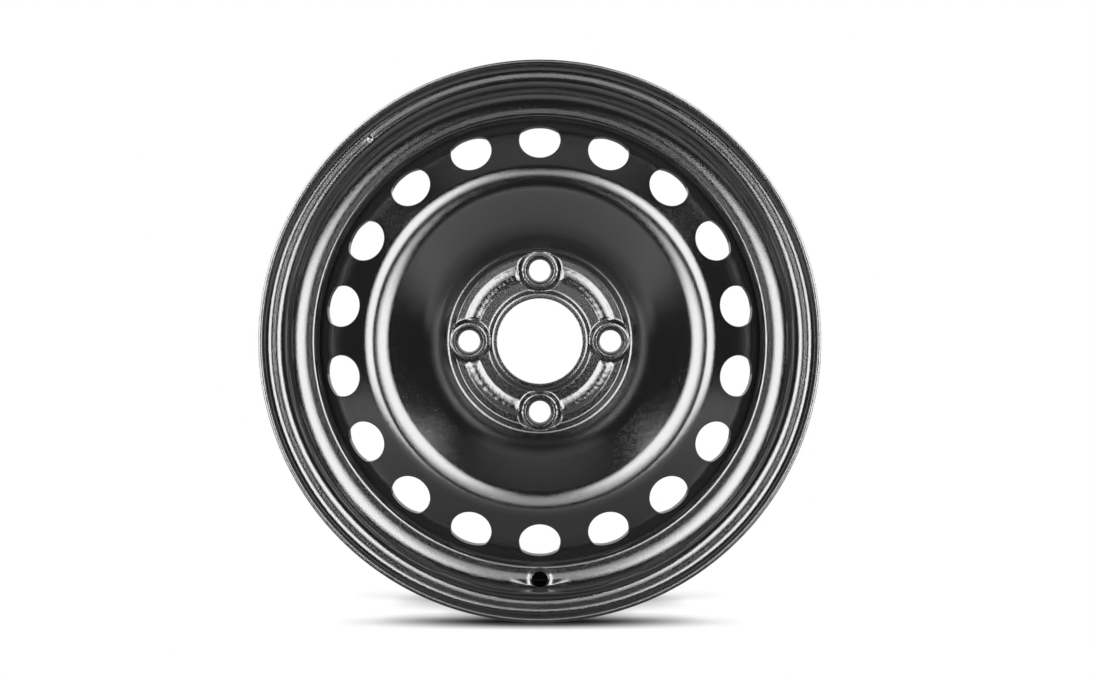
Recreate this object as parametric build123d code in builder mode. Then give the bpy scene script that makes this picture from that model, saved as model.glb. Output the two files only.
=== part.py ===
import os
from math import cos, radians, sin, tan

from build123d import *

# Millimetres. Y is the axle, the street side faces -Y and Z is up. The middle of the rim is the origin.

# Rim: a rolled drop-centre section, 15 inches across the bead seats and 6 inches between the flanges
rim_sheet = 2.8
seat_radius = 190.1
seat_taper = 5
seat_width = 20
rim_width = 152.4
flange_height = 17.3
flange_reach = 12.5
flange_bevel = 6.5
well_depth = 19.3
well_margin = 1
wall_run = 7.5
ramp_run = 16

# Valve hole, in a flat pressed into the front wall of the well
valve_hole_radius = 5.75
valve_flat_length = 44
valve_flat_width = 14

# Punch mark on the front flange
mark_radius = 2.2
mark_depth = 0.9
mark_height = 5.4
mark_angle = 40

# Disc: one pressing, pushed into the well until its flange sits under the well floor
disc_sheet = 3.6
wheel_offset = 25
bore_radius = 32.55
hub_floor_margin = 12
bowl_wall_width = 14
bowl_wall_angle = 50
crown_flat = 13.2
crown_height = 36
band_width = 27.6
band_angle = 26
shoulder_width = 9.4
shoulder_angle = 62
disc_flange_length = 25.6

# Relief of the hub face: a raised lip round the bore, and a pad between each two bolts
bore_lip_width = 3.2
bore_lip_height = 2.2
bore_lip_bevel = 2.4
pad_width = 12.4
pad_height = 1.2
pad_taper = 45
pad_gap = 0.8

# Bolt seats: a raised boss round each hole, with a cone for the bolt
bolt_count = 4
bolt_circle_radius = 54
bolt_hole_radius = 8.25
bolt_seat_radius = 10.7
bolt_seat_angle = 60
boss_radius = 15.5
boss_height = 3.4
boss_taper = 38

# Vent holes, punched square to the band outside the crown
vent_count = 18
vent_hole_radius = 15.55
vent_inset = 8.2
vent_cut_depth = 12

# Fillet welds on the back edge of the disc flange
weld_count = 8
weld_leg = 3.2
weld_arc = 18

lip_radius = seat_radius + flange_height
half_width = rim_width / 2
lip_edge = half_width + flange_reach
seat_end_radius = seat_radius - seat_width * tan(radians(seat_taper))
seat_end = half_width - seat_width
well_radius = seat_radius - well_depth

disc_radius = well_radius - rim_sheet
shoulder_radius = disc_radius - shoulder_width
band_start = shoulder_radius - band_width
crown_start = band_start - crown_flat
hub_floor_radius = bolt_circle_radius + hub_floor_margin
bowl_wall_radius = hub_floor_radius + bowl_wall_width
hub_front = -wheel_offset - disc_sheet
bowl_wall_front = hub_front - bowl_wall_width * tan(radians(bowl_wall_angle))
crown_front = hub_front - crown_height
shoulder_front = crown_front + band_width * tan(radians(band_angle))
disc_flange_front = shoulder_front + shoulder_width * tan(radians(shoulder_angle))
disc_back = disc_flange_front + disc_flange_length

# The well starts behind the front seat and ends just behind the welds
well_front = wall_run - seat_end
well_back = disc_back + weld_leg + well_margin

with BuildPart() as rim:
    with BuildSketch(Plane.XY):
        with BuildLine():
            Polyline(
                (lip_radius, -lip_edge),
                (lip_radius, -half_width - flange_bevel),
                (lip_radius - flange_bevel, -half_width),
                (seat_radius, -half_width),
                (seat_end_radius, -seat_end),
                (well_radius, well_front),
                (well_radius, well_back),
                (seat_end_radius, well_back + ramp_run),
                (seat_end_radius, seat_end),
                (seat_radius, half_width),
                (lip_radius - flange_bevel, half_width),
                (lip_radius, half_width + flange_bevel),
                (lip_radius, lip_edge),
            )
            offset(amount=rim_sheet, side=Side.LEFT, kind=Kind.INTERSECTION)
        make_face()
    revolve(axis=Axis.Y)

    # The valve flat is tangent to the wall of the well at the bottom of the wheel
    wall_drop = seat_end_radius - well_radius
    wall_length = (wall_drop**2 + wall_run**2) ** 0.5
    wall_out = Vector(0, -wall_drop, wall_run) / wall_length
    wall_middle = Vector(0, (well_front - seat_end) / 2, -(seat_end_radius + well_radius) / 2)
    valve_plane = Plane(origin=wall_middle + wall_out * rim_sheet, x_dir=(1, 0, 0), z_dir=wall_out)
    with BuildSketch(valve_plane) as valve_flat:
        SlotOverall(valve_flat_length, valve_flat_width)
    extrude(amount=-rim_sheet)
    extrude(valve_flat.sketch, amount=rim_sheet, mode=Mode.SUBTRACT)
    with BuildSketch(valve_plane):
        Circle(valve_hole_radius)
    extrude(amount=2 * rim_sheet, both=True, mode=Mode.SUBTRACT)

    mark_place = Vector(-sin(radians(mark_angle)), 0, cos(radians(mark_angle))) * (seat_radius + mark_height)
    flange_face = -half_width - rim_sheet
    with BuildSketch(Plane(origin=mark_place + Vector(0, flange_face, 0), x_dir=(1, 0, 0), z_dir=(0, 1, 0))):
        Circle(mark_radius)
    extrude(amount=mark_depth, taper=45, mode=Mode.SUBTRACT)
rim.part.label = "rim"

with BuildPart() as disc:
    with BuildSketch(Plane.XY):
        with BuildLine():
            Polyline(
                (bore_radius, hub_front),
                (hub_floor_radius, hub_front),
                (bowl_wall_radius, bowl_wall_front),
                (crown_start, crown_front),
                (band_start, crown_front),
                (shoulder_radius, shoulder_front),
                (disc_radius, disc_flange_front),
                (disc_radius, disc_back),
            )
            offset(amount=disc_sheet, side=Side.LEFT, kind=Kind.INTERSECTION)
        make_face()
    revolve(axis=Axis.Y)

    lip_top = bore_radius + bore_lip_width
    with BuildSketch(Plane.XY):
        with BuildLine():
            Polyline(
                (bore_radius, hub_front),
                (bore_radius, hub_front - bore_lip_height),
                (lip_top, hub_front - bore_lip_height),
                (lip_top + bore_lip_bevel, hub_front),
                close=True,
            )
        make_face()
    revolve(axis=Axis.Y)

    hub_plane = Plane(origin=(0, hub_front, 0), x_dir=(1, 0, 0), z_dir=(0, -1, 0))
    with BuildSketch(hub_plane):
        Circle(bolt_circle_radius + pad_width / 2)
        Circle(bolt_circle_radius - pad_width / 2, mode=Mode.SUBTRACT)
        with PolarLocations(bolt_circle_radius, bolt_count):
            Circle(boss_radius + pad_gap, mode=Mode.SUBTRACT)
    extrude(amount=pad_height, taper=pad_taper)
    with BuildSketch(hub_plane):
        with PolarLocations(bolt_circle_radius, bolt_count):
            Circle(boss_radius)
    extrude(amount=boss_height, taper=boss_taper)
    with Locations(hub_plane.offset(boss_height)):
        with PolarLocations(bolt_circle_radius, bolt_count):
            CounterSinkHole(bolt_hole_radius, bolt_seat_radius, counter_sink_angle=bolt_seat_angle)

    # Vent holes, the first at the top
    vent_distance = shoulder_radius - vent_inset
    vent_front = shoulder_front - vent_inset * tan(radians(band_angle))
    for vent in range(vent_count):
        turn = radians(360 * vent / vent_count)
        spoke = Vector(sin(turn), 0, cos(turn))
        vent_centre = spoke * vent_distance + Vector(0, vent_front, 0)
        vent_axis = spoke * sin(radians(band_angle)) - Vector(0, cos(radians(band_angle)), 0)
        with BuildSketch(Plane(origin=vent_centre, z_dir=vent_axis)):
            Circle(vent_hole_radius)
    extrude(amount=vent_cut_depth, both=True, mode=Mode.SUBTRACT)
disc.part.label = "disc"

with BuildPart() as welds:
    for weld in range(weld_count):
        with BuildSketch(Plane.XY.rotated((0, 360 * weld / weld_count, 0))):
            with BuildLine():
                Polyline(
                    (disc_radius, disc_back),
                    (disc_radius, disc_back + weld_leg),
                    (disc_radius - weld_leg, disc_back),
                    close=True,
                )
            make_face()
    revolve(axis=Axis.Y, revolution_arc=weld_arc)
welds.part.label = "disc_welds"

os.makedirs("parts", exist_ok=True)
export_step(rim.part, "parts/rim.step")
export_step(disc.part, "parts/disc.step")
export_step(welds.part, "parts/disc_welds.step")
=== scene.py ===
import math

import bmesh
import bpy
import numpy as np
from mathutils import Matrix, Vector


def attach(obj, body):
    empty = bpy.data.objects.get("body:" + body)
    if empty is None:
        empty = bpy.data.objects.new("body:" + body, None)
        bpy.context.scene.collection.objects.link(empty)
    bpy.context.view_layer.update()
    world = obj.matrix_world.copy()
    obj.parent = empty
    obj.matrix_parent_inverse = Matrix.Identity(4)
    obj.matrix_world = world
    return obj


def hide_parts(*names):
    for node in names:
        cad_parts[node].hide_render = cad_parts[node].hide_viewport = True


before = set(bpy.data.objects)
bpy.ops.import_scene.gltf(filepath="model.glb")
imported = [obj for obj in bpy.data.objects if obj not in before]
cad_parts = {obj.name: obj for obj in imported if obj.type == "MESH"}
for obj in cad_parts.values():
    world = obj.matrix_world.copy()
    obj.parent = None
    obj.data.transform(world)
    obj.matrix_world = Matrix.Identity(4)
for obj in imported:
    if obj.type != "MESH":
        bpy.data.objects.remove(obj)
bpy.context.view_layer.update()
mm = 0.001
sameSpot = 0.01  # millimetres, vertices closer than this are at one place
doubleGap = 0.001  # vertices closer than this are merged
print("frame loaded:", sorted(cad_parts))


def atTurn(radius, depth, turn=0.0):  # a point on the wheel, the turn in degrees clockwise from the top
    angle = math.radians(turn)
    return Vector((radius * math.sin(angle), depth, radius * math.cos(angle))) * mm


def pick(piece, kind, test):  # selects vertices, edges or faces by their place
    bpy.ops.mesh.select_all(action="DESELECT")
    bpy.ops.mesh.select_mode(type={"verts": "VERT", "edges": "EDGE", "faces": "FACE"}[kind])
    shape = bmesh.from_edit_mesh(piece.data)
    for part in getattr(shape, kind):
        if test(part):
            part.select_set(True)
    bmesh.update_edit_mesh(piece.data)


def places(piece):  # vertex places in millimetres
    flat = np.empty(len(piece.data.vertices) * 3)
    piece.data.vertices.foreach_get("co", flat)
    return flat.reshape(-1, 3) / mm


def setPlaces(piece, points):
    piece.data.vertices.foreach_set("co", (points * mm).ravel())
    piece.data.update()


def drawSection(name, corners):  # extrudes a vertex through the corners of a half section, left in edit mode
    bpy.ops.object.select_all(action="DESELECT")
    bpy.ops.mesh.primitive_plane_add(size=2 * mm)
    piece = bpy.context.object
    piece.name = piece.data.name = name
    bpy.ops.object.mode_set(mode="EDIT")
    bpy.ops.mesh.select_mode(type="VERT")
    bpy.ops.mesh.select_all(action="SELECT")
    bpy.ops.mesh.merge(type="CENTER")
    here = Vector((0, 0, 0))
    for number, corner in enumerate(corners):
        there = atTurn(corner[0], corner[1])
        if number == 0:
            bpy.ops.transform.translate(value=there - here)
        else:
            bpy.ops.mesh.extrude_region_move(TRANSFORM_OT_translate={"value": there - here})
        here = there
    for number, corner in enumerate(corners[1:-1], 1):  # each bend is rounded to its radius
        if len(corner) < 4:
            continue
        radius, depth, bend, segments = corner
        spot = atTurn(radius, depth)
        before = atTurn(*corners[number - 1][:2]) - spot
        after = atTurn(*corners[number + 1][:2]) - spot
        turned = math.pi - before.angle(after)
        pick(piece, "verts", lambda v: (v.co - spot).length < sameSpot * mm)
        bpy.ops.mesh.bevel(offset=bend * math.tan(turned / 2) * mm, segments=segments, affect="VERTICES",
                           profile=0.5, clamp_overlap=False)
    return piece


def divideSection(piece, low, high, cuts):  # more rows between two radii
    pick(piece, "edges", lambda e: all(low - sameSpot < v.co.z / mm < high + sameSpot for v in e.verts))
    bpy.ops.mesh.subdivide(number_cuts=cuts)


def sectionLine(piece):  # radius and depth of each vertex of a half section
    bpy.ops.object.mode_set(mode="OBJECT")
    line = places(piece)[:, [2, 1]]
    bpy.ops.object.mode_set(mode="EDIT")
    return line


def spinRound(steps, angle=2 * math.pi):
    bpy.ops.mesh.select_mode(type="VERT")
    bpy.ops.mesh.select_all(action="SELECT")
    bpy.ops.mesh.spin(steps=steps, angle=angle, center=(0, 0, 0), axis=(0, 1, 0))
    bpy.ops.mesh.select_all(action="SELECT")
    bpy.ops.mesh.remove_doubles(threshold=doubleGap * mm)


def copyRound(count):  # copies all of the open mesh round the axle
    bpy.ops.mesh.select_all(action="SELECT")
    bpy.ops.mesh.spin(steps=count - 1, angle=2 * math.pi * (1 - 1 / count), dupli=True, center=(0, 0, 0),
                      axis=(0, 1, 0))


def faceTowards(piece, outward):  # makes the normals agree, and point the way that outward tells for one face
    bpy.ops.mesh.select_all(action="SELECT")
    bpy.ops.mesh.normals_make_consistent(inside=False)
    bpy.ops.object.mode_set(mode="OBJECT")
    face = piece.data.polygons[len(piece.data.polygons) // 3]
    if face.normal.dot(outward(face.center)) < 0:
        bpy.ops.object.mode_set(mode="EDIT")
        bpy.ops.mesh.select_all(action="SELECT")
        bpy.ops.mesh.flip_normals()
        bpy.ops.object.mode_set(mode="OBJECT")


def thicken(piece, sheet):  # the drawn side stays, and the other side goes behind it
    wall = piece.modifiers.new("sheet", "SOLIDIFY")
    wall.thickness = sheet * mm
    wall.offset = -1
    wall.use_even_offset = True
    wall.use_quality_normals = True
    bpy.ops.object.modifier_apply(modifier=wall.name)


def easeEdges(width, sharp, segments=2, profile=0.6):  # rounds every cut edge of the active piece a little
    bpy.ops.object.mode_set(mode="EDIT")
    bpy.ops.mesh.select_mode(type="EDGE")
    bpy.ops.mesh.select_all(action="DESELECT")
    bpy.ops.mesh.edges_select_sharp(sharpness=math.radians(sharp))
    bpy.ops.mesh.bevel(offset=width * mm, segments=segments, profile=profile, clamp_overlap=True)
    bpy.ops.object.mode_set(mode="OBJECT")


def refine(piece, cuts, test):  # a finer mesh where test says so
    bpy.ops.object.mode_set(mode="EDIT")
    pick(piece, "faces", lambda f: test(f.calc_center_median()))
    bpy.ops.mesh.subdivide(number_cuts=cuts)
    bpy.ops.object.mode_set(mode="OBJECT")


def turnedCutter(name, outline, place, axis, steps=96):  # turned from (radius, height) points, to cut a hole
    cutter = drawSection(name, [(0.0, outline[0][1])] + outline + [(0.0, outline[-1][1])])
    spinRound(steps)
    bpy.ops.mesh.normals_make_consistent(inside=False)
    bpy.ops.object.mode_set(mode="OBJECT")
    turn = Vector((0, 1, 0)).rotation_difference(axis)
    cutter.data.transform(turn.to_matrix().to_4x4())
    cutter.data.transform(Matrix.Translation(place))
    return cutter


def cutAway(piece, cutter):
    bpy.ops.object.select_all(action="DESELECT")
    piece.select_set(True)
    bpy.context.view_layer.objects.active = piece
    cut = piece.modifiers.new("hole", "BOOLEAN")
    cut.operation = "DIFFERENCE"
    cut.solver = "EXACT"
    cut.object = cutter
    bpy.ops.object.modifier_apply(modifier=cut.name)
    bpy.data.objects.remove(cutter)


def smoothStep(share):
    share = np.clip(share, 0, 1)
    return share * share * (3 - 2 * share)


def softMax(a, b, width):
    share = np.clip(0.5 + 0.5 * (a - b) / width, 0, 1)
    return b + (a - b) * share + width * share * (1 - share)


def bank(rise, height, width):  # a straight slope from 0 up to height, with its two bends rounded
    return -softMax(-softMax(rise, 0, width), -height, width)


# Paint: black dip paint, glossy with a fine grain, a slow change of tone and a trace of dust
paintLook = {
    "deep": (0.0012, 0.0012, 0.0013, 1), "pale": (0.0024, 0.0024, 0.0026, 1), "toneScale": 14.0,
    "toneDetail": 6, "roughness": (0.08, 0.11), "glossBand": (0.3, 0.7), "coatRoughness": 0.05, "sheen": 0.045,
    "ior": 1.6, "grainScale": 1700.0, "grainDetail": 1, "grainHeight": 0.00007,
}


def makePaint(name):
    paint = bpy.data.materials.new(name)
    paint.use_nodes = True
    nodes, links = paint.node_tree.nodes, paint.node_tree.links
    shader = nodes["Principled BSDF"]
    shader.inputs["IOR"].default_value = paintLook["ior"]
    shader.inputs["Coat Weight"].default_value = 1.0
    shader.inputs["Coat Roughness"].default_value = paintLook["coatRoughness"]
    shader.inputs["Sheen Weight"].default_value = paintLook["sheen"]
    coords = nodes.new("ShaderNodeTexCoord")
    cloud = nodes.new("ShaderNodeTexNoise")
    cloud.inputs["Scale"].default_value = paintLook["toneScale"]
    cloud.inputs["Detail"].default_value = paintLook["toneDetail"]
    tone = nodes.new("ShaderNodeMix")
    tone.data_type = "RGBA"
    tone.inputs["A"].default_value = paintLook["deep"]
    tone.inputs["B"].default_value = paintLook["pale"]
    gloss = nodes.new("ShaderNodeMapRange")
    gloss.inputs["From Min"].default_value = paintLook["glossBand"][0]
    gloss.inputs["From Max"].default_value = paintLook["glossBand"][1]
    gloss.inputs["To Min"].default_value = paintLook["roughness"][0]
    gloss.inputs["To Max"].default_value = paintLook["roughness"][1]
    grain = nodes.new("ShaderNodeTexNoise")
    grain.inputs["Scale"].default_value = paintLook["grainScale"]
    grain.inputs["Detail"].default_value = paintLook["grainDetail"]
    bump = nodes.new("ShaderNodeBump")
    bump.inputs["Strength"].default_value = 1.0
    bump.inputs["Distance"].default_value = paintLook["grainHeight"]
    links.new(coords.outputs["Object"], cloud.inputs["Vector"])
    links.new(coords.outputs["Object"], grain.inputs["Vector"])
    links.new(cloud.outputs["Fac"], tone.inputs["Factor"])
    links.new(cloud.outputs["Fac"], gloss.inputs["Value"])
    links.new(tone.outputs["Result"], shader.inputs["Base Color"])
    links.new(gloss.outputs["Result"], shader.inputs["Roughness"])
    links.new(grain.outputs["Fac"], bump.inputs["Height"])
    links.new(bump.outputs["Normal"], shader.inputs["Normal"])
    links.new(bump.outputs["Normal"], shader.inputs["Coat Normal"])
    return paint


wheelPaint = makePaint("wheelPaint")


def finishPiece(piece, node, smoothAngle=35):
    bpy.ops.object.select_all(action="DESELECT")
    piece.select_set(True)
    bpy.context.view_layer.objects.active = piece
    bpy.ops.object.shade_smooth_by_angle(angle=math.radians(smoothAngle))
    piece.data.materials.clear()
    piece.data.materials.append(wheelPaint)
    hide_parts(node)
    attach(piece, "root")
    print(node, "modelled:", len(piece.data.polygons), "faces")


# Rim: one rolled sheet, drawn on its tyre side as (radius, depth, bend radius, segments)
rimShape = {
    "sheet": 2.8, "steps": 420, "edge": 0.9, "sharp": 50,
    "section": [
        (207.4, -88.7), (207.4, -76.2, 9.5, 10), (190.1, -76.2, 6.5, 9),  # street flange
        (188.35, -56.2, 4.0, 6), (180.0, -51.76, 25.0, 9), (170.8, -51.12, 0.6, 4),  # bead seat and wall
        (170.8, -3.7, 8.0, 4), (188.35, 12.3, 9.0, 4), (188.35, 56.2),  # well floor and ramp
        (190.1, 76.2, 6.5, 7), (207.4, 76.2, 9.5, 8), (207.4, 88.7),  # inner flange
    ],
    "wallDepth": (-52.3, -51.0), "wallTop": 175.4, "wallCuts": 5,  # more rows in the straight wall
}


def onWall(edge):
    low, high = rimShape["wallDepth"]
    return all(low < v.co.y / mm < high and v.co.z / mm < rimShape["wallTop"] for v in edge.verts)


rim = drawSection("wheel_rim", rimShape["section"])
pick(rim, "edges", onWall)
bpy.ops.mesh.subdivide(number_cuts=rimShape["wallCuts"])
spinRound(rimShape["steps"])
faceTowards(rim, lambda place: Vector((place.x, 0, place.z)))
thicken(rim, rimShape["sheet"])
easeEdges(rimShape["edge"], rimShape["sharp"])

# Valve hole: a flat pressed into the wall at the bottom, dished round the hole
valveShape = {
    "place": (179.2, -55.2), "tilt": 3.5, "halfWidth": 4.5, "stretch": 3.0, "blend": 3.5,
    "dish": (8.9, 11.5, 0.14), "seat": (7.9, 8.9, 0.4),  # inner radius, outer radius, depth
    "fine": (33.0, 13.0, 9.0), "cuts": 3,  # half sizes of the finer patch
    "pressed": (14.0, 3.0),  # what moves lies within this of the middle and of the wall
    "hole": [(6.7, 8.0), (6.6, 3.4), (5.9, 2.8), (5.9, 1.3), (6.15, 0.95), (6.6, 0.7), (6.6, -4.0)],
}
valvePlace = atTurn(*valveShape["place"], 180)
valveTilt = math.radians(valveShape["tilt"])
wallOut = Vector((0, -math.cos(valveTilt), math.sin(valveTilt)))
wallDown = Vector((0, -math.sin(valveTilt), -math.cos(valveTilt)))


def nearValve(place):
    offset = (place - valvePlace) / mm
    long, wide, thick = valveShape["fine"]
    return abs(offset.x) < long and abs(offset.dot(wallDown)) < wide and abs(offset.dot(wallOut)) < thick


refine(rim, valveShape["cuts"], nearValve)
spots = places(rim)
offset = spots - np.array(valvePlace) / mm
along, rise = offset @ np.array(wallDown), offset @ np.array(wallOut)
fromSlot = np.hypot(offset[:, 0] / valveShape["stretch"], along) - valveShape["halfWidth"]
level = np.where(rise > -rimShape["sheet"] / 2, 0.0, -rimShape["sheet"])  # street side or tyre side
reach, depth = valveShape["pressed"]
near = (np.abs(rise - level) < depth) & (np.abs(along) < reach)
share = smoothStep(1 - fromSlot / valveShape["blend"]) * near
fromHole = np.hypot(offset[:, 0], along)
inner, outer, depth = valveShape["dish"]
dish = depth * np.clip((outer - fromHole) / (outer - inner), 0, 1) ** 2
inner, outer, depth = valveShape["seat"]
dish += depth * smoothStep((outer - fromHole) / (outer - inner))
push = share * np.maximum(rise - level, 0) + near * dish
setPlaces(rim, spots - push[:, None] * np.array(wallOut))
cutAway(rim, turnedCutter("valve_cut", valveShape["hole"], valvePlace, -wallOut))
print("valve flat pressed")

# Punch mark on the street flange
markShape = {"turn": -40.0, "radius": 195.5, "size": 2.2, "depth": 0.9, "soft": 0.16, "fine": 5.0, "cuts": 4,
             "skin": 1.0}  # only what lies this close to the street side is pressed
markPlace = atTurn(markShape["radius"], rimShape["section"][1][1] - rimShape["sheet"], markShape["turn"])


def nearMark(place):
    offset = (place - markPlace) / mm
    return offset.length < markShape["fine"] and offset.y < markShape["skin"]


refine(rim, markShape["cuts"], nearMark)
spots = places(rim)
offset = spots - np.array(markPlace) / mm
fromMark = np.hypot(offset[:, 0], offset[:, 2])
near = (fromMark < markShape["fine"]) & (offset[:, 1] < markShape["skin"])
spots[:, 1] += near * markShape["depth"] * bank(1 - fromMark / markShape["size"], 1.0, markShape["soft"])
setPlaces(rim, spots)
finishPiece(rim, "rim")

# Disc: one pressing, drawn on its street side
discShape = {
    "sheet": 3.6, "steps": 324, "edge": 0.22, "sharp": 55, "floor": -28.6, "back": -25.0,
    "section": [
        (32.55, -28.6), (36.0, -28.6), (42.0, -28.6), (46.0, -28.6), (50.0, -28.6), (57.0, -28.6),  # hub face
        (61.0, -28.6), (64.0, -28.6), (71.6, -33.9), (73.5, -36.3), (82.0, -46.5, 55.0, 10),  # step and bowl
        (117.85, -67.0, 25.4, 10), (128.6, -67.0, 18.0, 9),  # crown
        (158.6, -53.2, 4.5, 6), (167.98, -33.5, 7.0, 5), (167.98, -7.86),  # band, shoulder and flange
    ],
    "rows": [  # from one radius to another, so many cuts
        (32.55, 36.0, 3), (36.0, 42.0, 9), (42.0, 46.0, 3), (46.0, 50.0, 5), (50.0, 57.0, 4), (57.0, 61.0, 5),
        (61.0, 64.0, 2), (64.0, 71.6, 14), (71.6, 73.5, 2), (96.5, 111.8, 4), (132.0, 157.4, 10),
        (159.2, 167.3, 7),
    ],
    "joint": 132.2, "reliefEnd": 73.5, "backReach": 1.0,
}
ventShape = {
    "count": 18, "radius": 15.55, "circle": 151.4, "tilt": 26.0,
    "wallTilt": 12.0, "wallReach": 6.0, "wallSlant": 0.5,  # the hole's walls, and how far round it they pull
    "halfWidth": 8.0, "window": (134.1, 165.9), "margin": 0.4, "rings": 5,  # the window in degrees and radii
    "layTries": 30, "layPace": 1.4, "seamGap": 0.005,
}


def drawDisc(name, keep):  # the section on one side of the joint line, outside the crown
    piece = drawSection(name, discShape["section"])
    for low, high, cuts in discShape["rows"]:
        divideSection(piece, low, high, cuts)
    line = sectionLine(piece)
    joint = line[np.argmin(np.abs(line[:, 0] - discShape["joint"])), 0]
    pick(piece, "verts", lambda v: not keep(v.co.z / mm, joint))
    bpy.ops.mesh.delete(type="VERT")
    return piece


disc = drawDisc("wheel_disc", lambda radius, joint: radius < joint + sameSpot)
spinRound(discShape["steps"])
bpy.ops.object.mode_set(mode="OBJECT")

# One sector of the band, with its vent hole
band = drawDisc("vent_sector", lambda radius, joint: radius > joint - sameSpot)
bandLine = sectionLine(band)
bandLine = bandLine[np.argsort(bandLine[:, 0], kind="stable")]
sectorAngle = math.radians(360 / ventShape["count"])
spinRound(discShape["steps"] // ventShape["count"], sectorAngle)
bpy.ops.object.mode_set(mode="OBJECT")
band.data.transform(Matrix.Rotation(sectorAngle / 2, 4, "Y"))
bpy.ops.object.mode_set(mode="EDIT")


def inWindow(co, margin=0.0):
    radius, turn = math.hypot(co.x, co.z) / mm, math.degrees(math.atan2(co.x, co.z))
    low, high = ventShape["window"]
    return abs(turn) < ventShape["halfWidth"] + margin and low - margin < radius < high + margin


def onWindow(edge):
    return edge.is_boundary and inWindow((edge.verts[0].co + edge.verts[1].co) / 2, ventShape["margin"])


pick(band, "faces", lambda f: inWindow(f.calc_center_median()))
bpy.ops.mesh.delete(type="FACE")
bpy.ops.object.mode_set(mode="OBJECT")
solidCount = len(band.data.vertices)
bpy.ops.object.mode_set(mode="EDIT")
pick(band, "edges", onWindow)
windowEdges = sum(e.select for e in bmesh.from_edit_mesh(band.data).edges)
ventTilt = math.radians(ventShape["tilt"])
ventAxis = np.array((0, -math.cos(ventTilt), math.sin(ventTilt)))
ventCentre = atTurn(ventShape["circle"], np.interp(ventShape["circle"], *bandLine.T))
bpy.ops.mesh.primitive_circle_add(vertices=windowEdges, radius=ventShape["radius"] * mm, location=ventCentre,
                                  rotation=(math.pi / 2 - ventTilt, 0, 0))
pick(band, "edges", lambda e: onWindow(e) or e.is_wire)
bpy.ops.mesh.bridge_edge_loops(number_cuts=ventShape["rings"], interpolation="LINEAR")
bpy.ops.object.mode_set(mode="OBJECT")

# The ring between window and hole is laid on the pressed surface, along the axis of the punch
spots = places(band)
slide = np.zeros(len(spots) - solidCount)
for layTry in range(ventShape["layTries"]):
    moved = spots[solidCount:] + slide[:, None] * ventAxis
    slide += (moved[:, 1] - np.interp(np.hypot(moved[:, 0], moved[:, 2]), *bandLine.T)) / ventShape["layPace"]
spots[solidCount:] += slide[:, None] * ventAxis
setPlaces(band, spots)
bpy.ops.object.mode_set(mode="EDIT")
copyRound(ventShape["count"])
bpy.ops.mesh.select_all(action="SELECT")
bpy.ops.mesh.remove_doubles(threshold=ventShape["seamGap"] * mm)
bpy.ops.object.mode_set(mode="OBJECT")
print("vents punched, window of", windowEdges, "edges")

# Hub and band become one sheet
bpy.ops.object.select_all(action="DESELECT")
band.select_set(True)
disc.select_set(True)
bpy.context.view_layer.objects.active = disc
bpy.ops.object.join()
bpy.ops.object.mode_set(mode="EDIT")
bpy.ops.mesh.select_all(action="SELECT")
bpy.ops.mesh.remove_doubles(threshold=sameSpot * mm)
faceTowards(disc, lambda place: Vector((0, -1, 0)))
frontCount = len(disc.data.vertices)
thicken(disc, discShape["sheet"])

# The walls of the vents run nearly along the axle, so the back of each hole is moved along the sheet
spots = places(disc)
frontSide, backSide = spots[:frontCount], spots[frontCount:2 * frontCount]
radius = np.hypot(frontSide[:, 0], frontSide[:, 2])
turn = (np.arctan2(frontSide[:, 0], frontSide[:, 2]) + sectorAngle / 2) % sectorAngle - sectorAngle / 2
local = np.column_stack((radius * np.sin(turn), frontSide[:, 1], radius * np.cos(turn)))
local -= np.array(ventCentre) / mm
fromAxis = np.linalg.norm(local - np.outer(local @ ventAxis, ventAxis), axis=1)
share = np.clip(1 - (fromAxis - ventShape["radius"]) / ventShape["wallReach"], 0, 1)
share *= radius > discShape["joint"] + discShape["backReach"]
wallTilt = math.radians(ventShape["wallTilt"])
spoke = np.column_stack((frontSide[:, 0], 0 * radius, frontSide[:, 2])) / radius[:, None]
wallRun = np.array((0, math.cos(wallTilt), 0)) - math.sin(wallTilt) * spoke
inward = (backSide - frontSide) / np.linalg.norm(backSide - frontSide, axis=1)[:, None]
wallLength = discShape["sheet"] / np.clip((wallRun * inward).sum(axis=1), ventShape["wallSlant"], 1)
straight = frontSide + wallRun * wallLength[:, None]
spots[frontCount:2 * frontCount] = backSide + share[:, None] * (straight - backSide)
setPlaces(disc, spots)

# Hub relief: a lip round the bore, a boss round each bolt hole, pads between them and the step to the bowl
hubShape = {
    "bolts": 4, "boltCircle": 54.0, "soft": 0.7,
    "lip": (36.4, 39.8, 2.2), "boss": (14.0, 16.6, 3.4),  # radius of the top, radius of the foot, height
    "step": (65.0, 69.0, 4.0), "wall": (70.6, 4.0, 1.28),  # foot, top, height, and foot, height there, slope
    "wallSoft": 0.8, "lipSoft": 0.4, "bossSoft": 0.9, "backShift": 1.4, "backWall": -2.25,
    "pad": (53.6, 6.4, 1.35), "padGap": 15.4, "padEnd": 4.0,  # middle, half width and height of the pads
    "uneven": 0.035, "waves": [(1.7, 0.9, 0), (1.1, -1.6, 0), (0.7, 1.3, 2)],  # the pads aren't quite even
}


def hubRise(radius, shift=0.0, lower=0.0):  # the step and the foot of the bowl wall
    foot, top, height = hubShape["step"]
    step = bank(height * (radius - shift - foot) / (top - foot), height, hubShape["soft"])
    foot, start, slope = hubShape["wall"]
    return softMax(step, start + lower + slope * (radius - foot), hubShape["wallSoft"])


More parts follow.
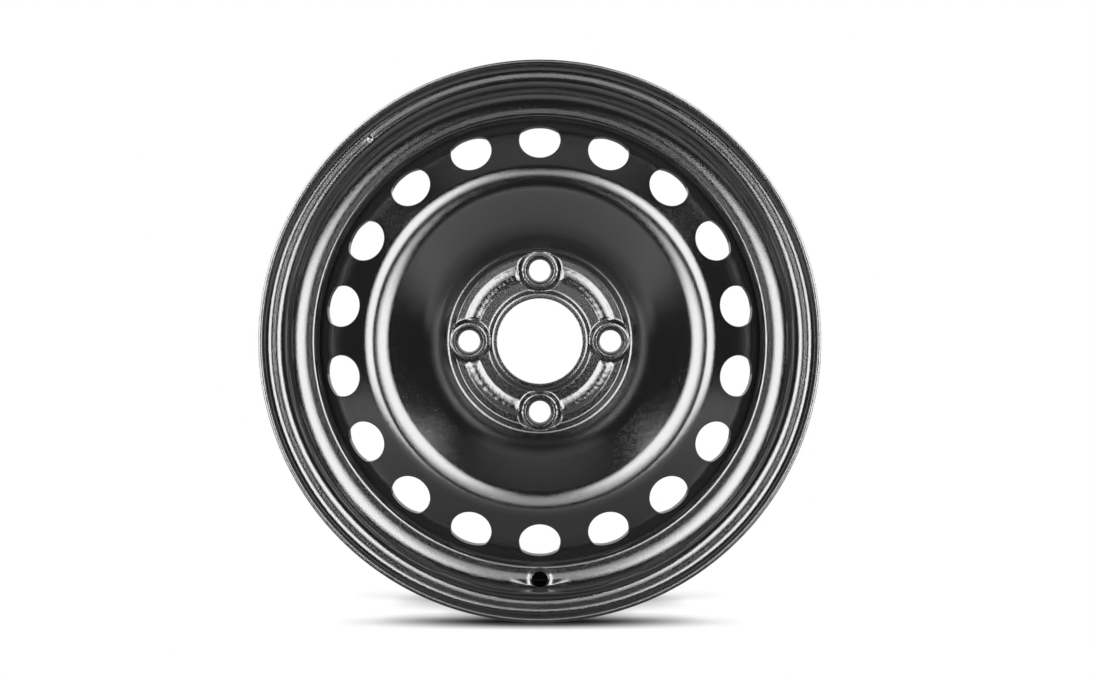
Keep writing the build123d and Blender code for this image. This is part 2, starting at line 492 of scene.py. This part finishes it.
def hubRelief(x, z):
    radius = np.hypot(x, z)
    quarter = 2 * np.pi / hubShape["bolts"]
    turn = (np.arctan2(x, z) + quarter / 2) % quarter - quarter / 2
    fromBolt = np.hypot(radius * np.sin(turn), radius * np.cos(turn) - hubShape["boltCircle"])
    top, foot, height = hubShape["lip"]
    lip = bank(height * (foot - radius) / (foot - top), height, hubShape["soft"])
    top, foot, height = hubShape["boss"]
    boss = bank(height * (foot - fromBolt) / (foot - top), height, hubShape["soft"])
    relief = softMax(softMax(lip, hubRise(radius), hubShape["lipSoft"]), boss, hubShape["bossSoft"])
    middle, half, height = hubShape["pad"]
    across = np.clip(1 - ((radius - middle) / half) ** 2, 0, 1)
    ends = np.clip((fromBolt - hubShape["padGap"]) / hubShape["padEnd"], 0, 1)
    run = np.arctan2(x, z) * radius
    uneven = sum(np.sin(alongRate * run + outRate * radius + start)
                 for alongRate, outRate, start in hubShape["waves"])
    pad = (height * across + hubShape["uneven"] * uneven * np.sqrt(across)) * ends * (2 - ends)
    return np.maximum(relief, pad)


spots = places(disc)
radius = np.hypot(spots[:, 0], spots[:, 2])
isFront = np.arange(len(spots)) < frontCount
front = isFront & (radius < discShape["reliefEnd"] + sameSpot)
back = ~isFront & (radius < discShape["reliefEnd"] + discShape["backReach"])
spots[front, 1] = discShape["floor"] - hubRelief(spots[front, 0], spots[front, 2])
spots[back, 1] = discShape["back"] - hubRise(radius[back], hubShape["backShift"], hubShape["backWall"])
setPlaces(disc, spots)
easeEdges(discShape["edge"], discShape["sharp"])
print("hub pressed")

# Bolt holes: a cone for the bolt, its upper edge eased
boltCut = [(8.9, 2.0), (8.25, -0.6), (8.25, -2.6), (10.6, -6.75), (10.75, -6.92), (11.0, -7.02), (11.4, -7.1),
           (11.4, -12.0)]
for bolt in range(hubShape["bolts"]):
    place = atTurn(hubShape["boltCircle"], discShape["back"], 360 * bolt / hubShape["bolts"])
    cutAway(disc, turnedCutter("bolt_cut", boltCut, place, Vector((0, 1, 0))))
finishPiece(disc, "disc")

# Weld beads: one rippled bead in the corner behind the disc flange, copied round the rim
beadShape = {"count": 8, "arc": 18.0, "steps": 60, "corner": (168.0, -7.86), "leg": 3.2, "bulge": 2.45,
             "round": (2.6, 5), "taper": 5.0, "endSize": 0.05, "ripple": 0.05, "pitch": 2.4}
cornerRadius, cornerDepth = beadShape["corner"]
leg, bulge = beadShape["leg"], beadShape["bulge"]
beads = drawSection("weld_beads", [(cornerRadius, cornerDepth), (cornerRadius - leg, cornerDepth),
                                   (cornerRadius - bulge, cornerDepth + bulge, *beadShape["round"]),
                                   (cornerRadius, cornerDepth + leg), (cornerRadius, cornerDepth)])
bpy.ops.mesh.select_all(action="SELECT")
bpy.ops.mesh.remove_doubles(threshold=doubleGap * mm)
spinRound(beadShape["steps"], math.radians(beadShape["arc"]))
pick(beads, "edges", lambda e: e.is_boundary)
bpy.ops.mesh.edge_face_add()
bpy.ops.mesh.select_all(action="SELECT")
bpy.ops.mesh.normals_make_consistent(inside=False)
bpy.ops.object.mode_set(mode="OBJECT")
beads.data.transform(Matrix.Rotation(math.radians(beadShape["arc"]), 4, "Y"))
spots = places(beads)
turn = np.arctan2(spots[:, 0], spots[:, 2])
run = np.abs(turn - turn.min()) * cornerRadius
fromEnd = np.minimum(run, run.max() - run)
size = np.sqrt(np.clip(fromEnd / beadShape["taper"], beadShape["endSize"], 1))
size *= 1 + beadShape["ripple"] * np.cos(2 * np.pi * run / beadShape["pitch"])
radius = cornerRadius - (cornerRadius - np.hypot(spots[:, 0], spots[:, 2])) * size
depth = cornerDepth + (spots[:, 1] - cornerDepth) * size
setPlaces(beads, np.column_stack((radius * np.sin(turn), depth, radius * np.cos(turn))))
bpy.ops.object.mode_set(mode="EDIT")
copyRound(beadShape["count"])
bpy.ops.object.mode_set(mode="OBJECT")
finishPiece(beads, "disc_welds")

# Floor: white to the camera, with painted contact shade and a painted oval shadow at the wheel; plain to the
# reflections, with painted shade darkening it close to the wheel
floorLook = {
    "size": 12.0, "front": -0.5, "level": -207.4,
    "paintedNearShade": (-0.42, -0.12, 0.9, 0.42),  # painted shade near the wheel: from this depth to that one, and the tone at each
    "contact": 0.05, "contactSamples": 16,
    "oval": (0.104, 0.033), "ovalDepth": -0.086, "ovalFade": (0.3, 1.45), "ovalTone": 0.05,  # painted shadow in front
}
floorMiddle = floorLook["front"] + floorLook["size"] / 2
bpy.ops.mesh.primitive_plane_add(size=floorLook["size"], location=(0, floorMiddle, floorLook["level"] * mm))
floor = bpy.context.object
floor.name = "floor"
floorPaint = bpy.data.materials.new("floorPaint")
floorPaint.use_nodes = True
nodes, links = floorPaint.node_tree.nodes, floorPaint.node_tree.links
nodes.clear()
path = nodes.new("ShaderNodeLightPath")
white = nodes.new("ShaderNodeEmission")
plain = nodes.new("ShaderNodeBsdfDiffuse")
coords = nodes.new("ShaderNodeTexCoord")
parts = nodes.new("ShaderNodeSeparateXYZ")
# painted shade: in reflections the floor's colour darkens towards the wheel
paintedNearShade = nodes.new("ShaderNodeMapRange")
paintedNearShade.inputs["From Min"].default_value = floorLook["paintedNearShade"][0] - floorMiddle
paintedNearShade.inputs["From Max"].default_value = floorLook["paintedNearShade"][1] - floorMiddle
paintedNearShade.inputs["To Min"].default_value = floorLook["paintedNearShade"][2]
paintedNearShade.inputs["To Max"].default_value = floorLook["paintedNearShade"][3]
# painted contact shade: ambient occlusion darkens the floor's emission close to the wheel
contact = nodes.new("ShaderNodeAmbientOcclusion")
contact.inputs["Distance"].default_value = floorLook["contact"]
contact.samples = floorLook["contactSamples"]
# painted shadow: an oval that darkens the floor's emission in front of the wheel
long, short = floorLook["oval"]
oval = nodes.new("ShaderNodeVectorMath")
oval.operation = "MULTIPLY_ADD"
oval.inputs[1].default_value = (1 / long, 1 / short, 0)
oval.inputs[2].default_value = (0, (floorMiddle - floorLook["ovalDepth"]) / short, 0)
spread = nodes.new("ShaderNodeVectorMath")
spread.operation = "LENGTH"
fade = nodes.new("ShaderNodeMapRange")
fade.interpolation_type = "SMOOTHSTEP"
fade.inputs["From Min"].default_value = floorLook["ovalFade"][0]
fade.inputs["From Max"].default_value = floorLook["ovalFade"][1]
fade.inputs["To Min"].default_value = floorLook["ovalTone"]
# the painted oval shadow times the painted contact shade sets the floor's emission
deepen = nodes.new("ShaderNodeMath")
deepen.operation = "MULTIPLY"
mixer = nodes.new("ShaderNodeMixShader")
out = nodes.new("ShaderNodeOutputMaterial")
links.new(coords.outputs["Object"], parts.inputs[0])
links.new(parts.outputs["Y"], paintedNearShade.inputs["Value"])
links.new(paintedNearShade.outputs["Result"], plain.inputs["Color"])
links.new(coords.outputs["Object"], oval.inputs[0])
links.new(oval.outputs[0], spread.inputs[0])
links.new(spread.outputs["Value"], fade.inputs["Value"])
links.new(fade.outputs["Result"], deepen.inputs[0])
links.new(contact.outputs["AO"], deepen.inputs[1])
links.new(deepen.outputs[0], white.inputs["Strength"])
links.new(path.outputs["Is Camera Ray"], mixer.inputs["Fac"])
links.new(plain.outputs[0], mixer.inputs[1])
links.new(white.outputs[0], mixer.inputs[2])
links.new(mixer.outputs[0], out.inputs["Surface"])
floor.data.materials.append(floorPaint)
print("floor laid")

# Light: a tall soft box on each side, a weaker one between them and a weak one above
lampLook = {  # degrees to the side and up, distance, width, height and brightness
    "left": (-24.3, 10.0, 2.2, 1.1, 1.75, 9.5), "right": (24.3, 10.0, 2.2, 1.1, 1.75, 9.5),
    "front": (0, 15, 2.2, 0.62, 0.85, 2.6), "top": (0, 62, 2.2, 2.4, 0.9, 0.35),
}
for name, (side, height, distance, width, tall, level) in lampLook.items():
    across, up = math.radians(side), math.radians(height)
    towards = Vector((math.sin(across) * math.cos(up), -math.cos(across) * math.cos(up), math.sin(up)))
    bpy.ops.object.light_add(type="AREA", location=towards * distance)
    lamp = bpy.context.object
    lamp.name = name + "Box"
    lamp.rotation_euler = towards.to_track_quat("Z", "Y").to_euler()
    lamp.data.shape = "RECTANGLE"
    lamp.data.size, lamp.data.size_y = width, tall
    lamp.data.energy = level * math.pi * width * tall
    lamp.visible_camera = False

# Surroundings: white to the camera, else dark on its side and pale behind the wheel
studioLook = {"turn": (0.2, 0.8), "level": (0.075, 0.7)}
studio = bpy.data.worlds.new("studio")
bpy.context.scene.world = studio
studio.use_nodes = True
nodes, links = studio.node_tree.nodes, studio.node_tree.links
ground = nodes["Background"]
ground.inputs["Color"].default_value = (1, 1, 1, 1)
path = nodes.new("ShaderNodeLightPath")
coords = nodes.new("ShaderNodeTexCoord")
parts = nodes.new("ShaderNodeSeparateXYZ")
behind = nodes.new("ShaderNodeMapRange")
behind.inputs["From Min"].default_value = studioLook["turn"][0]
behind.inputs["From Max"].default_value = studioLook["turn"][1]
behind.inputs["To Min"].default_value = studioLook["level"][0]
behind.inputs["To Max"].default_value = studioLook["level"][1]
strength = nodes.new("ShaderNodeMath")
strength.operation = "MAXIMUM"
links.new(coords.outputs["Generated"], parts.inputs[0])
links.new(parts.outputs["Y"], behind.inputs["Value"])
links.new(behind.outputs["Result"], strength.inputs[0])
links.new(path.outputs["Is Camera Ray"], strength.inputs[1])
links.new(strength.outputs[0], ground.inputs["Strength"])
print("lights set:", len(lampLook))

# Camera: square on, level with the axle, its view shifted as in the photo
photo = {"width": 1094, "focal": 2146.0, "right": 7.2, "up": 1.0, "distance": 1668.7, "sensor": 36}
bpy.ops.object.camera_add(location=(0, -photo["distance"] * mm, 0), rotation=(math.pi / 2, 0, 0))
camera = bpy.context.object
camera.data.sensor_width = photo["sensor"]
camera.data.lens = photo["sensor"] * photo["focal"] / photo["width"]
camera.data.shift_x = photo["right"] / photo["width"]
camera.data.shift_y = photo["up"] / photo["width"]
bpy.context.scene.camera = camera
bpy.context.scene.view_settings.view_transform = "Standard"
